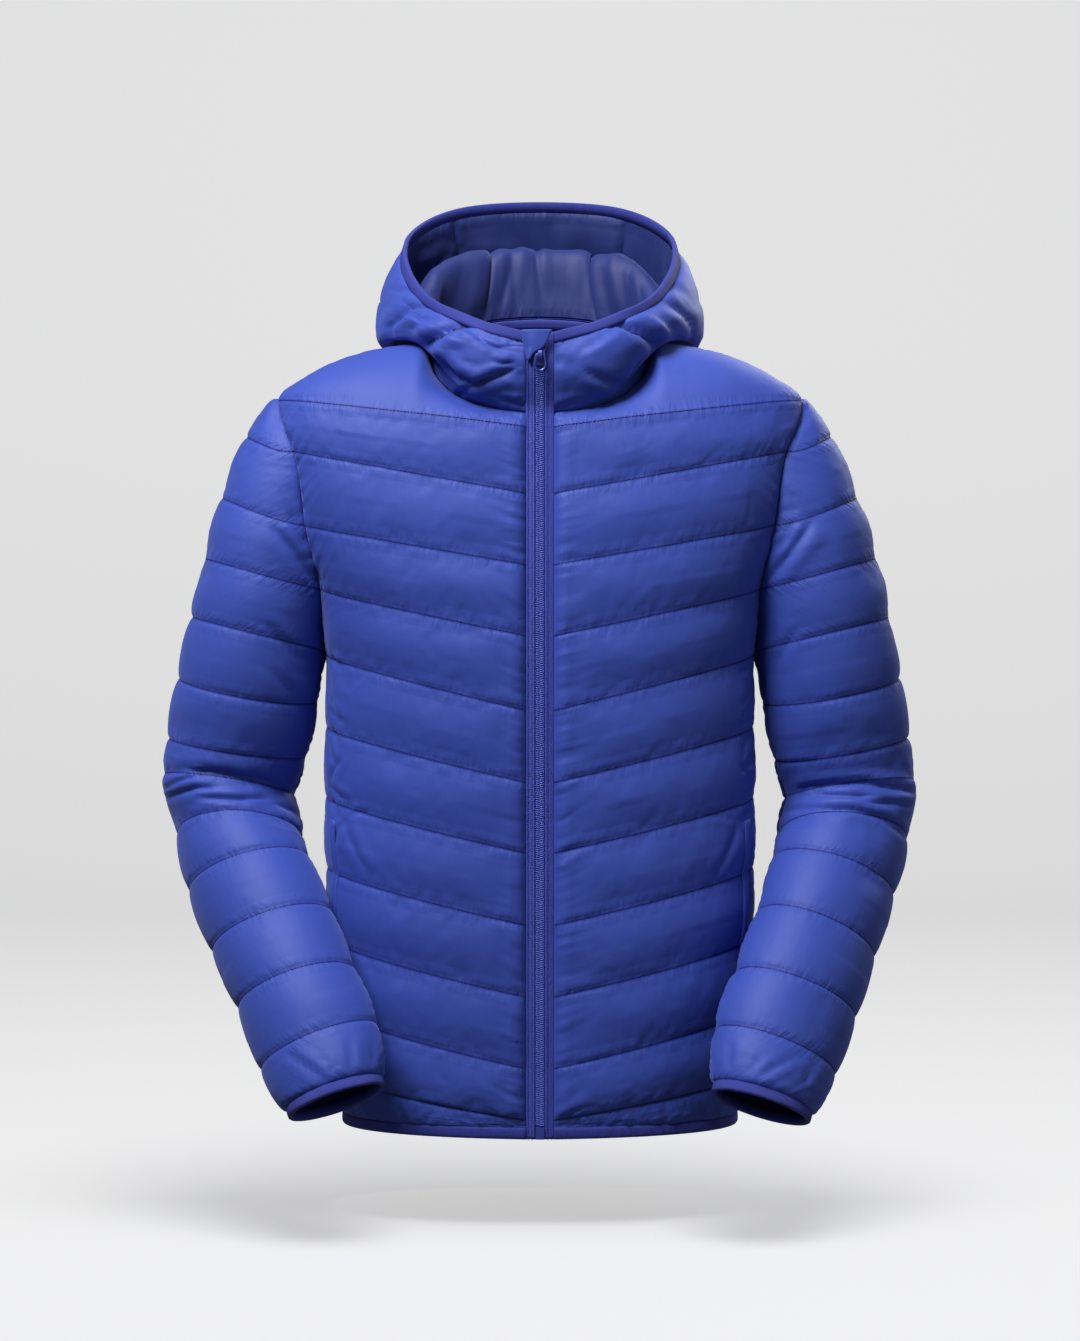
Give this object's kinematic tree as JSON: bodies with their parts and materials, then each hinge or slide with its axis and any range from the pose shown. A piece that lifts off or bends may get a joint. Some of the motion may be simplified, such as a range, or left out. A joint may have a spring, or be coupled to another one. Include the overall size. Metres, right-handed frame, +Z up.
{
  "type": "puffer jacket",
  "caption": "Hooded, quilted puffer jacket with a full front zip, filled out as if worn, its hood lowered and its forearms bent forward.",
  "frame": {"origin": "base of the neck, midway between the shoulders, where the wearer's shoulders carry the jacket", "axes": "+Z up; the front and its zip face -Y; +X is the wearer's left"},
  "size_m": [0.6713, 0.3703, 0.8385],
  "materials": {
    "shell_cloth": "smooth, semi-matte woven nylon over wadding, royal blue",
    "elastic_binding": "matte woven elastic tape, dark blue",
    "zip_tape_cloth": "matte woven polyester tape, dark blue",
    "zip_plastic": "moulded nylon coil, dark blue",
    "zip_metal": "die-cast slider and pull painted dark blue"
  },
  "bodies": {
    "jacket": {"front_right": "shell_cloth", "front_left": "shell_cloth", "back": "shell_cloth", "sleeve_right": "shell_cloth", "sleeve_left": "shell_cloth", "hood_centre": "shell_cloth", "hood_side_left": "shell_cloth", "hood_side_right": "shell_cloth", "hood_binding": "elastic_binding", "cuff_binding_right": "elastic_binding", "cuff_binding_left": "elastic_binding", "hem_binding": "elastic_binding", "zip_tape_left": "zip_tape_cloth", "zip_tape_right": "zip_tape_cloth", "zip_chain": "zip_plastic", "zip_box": "zip_plastic", "zip_slider": "zip_metal", "zip_garage": "shell_cloth", "pocket_welt_right": "shell_cloth", "pocket_welt_left": "shell_cloth", "neck_tape": "elastic_binding"},
    "pull_tab": {"zip_pull": "zip_metal"}
  },
  "joints": [
    {"name": "pull_swing", "type": "hinge", "parent": "jacket", "child": "pull_tab", "pos_m": [0, -0.108, -0.0125], "axis": [-1, 0, 0], "range_deg": [0, 120]}
  ]
}
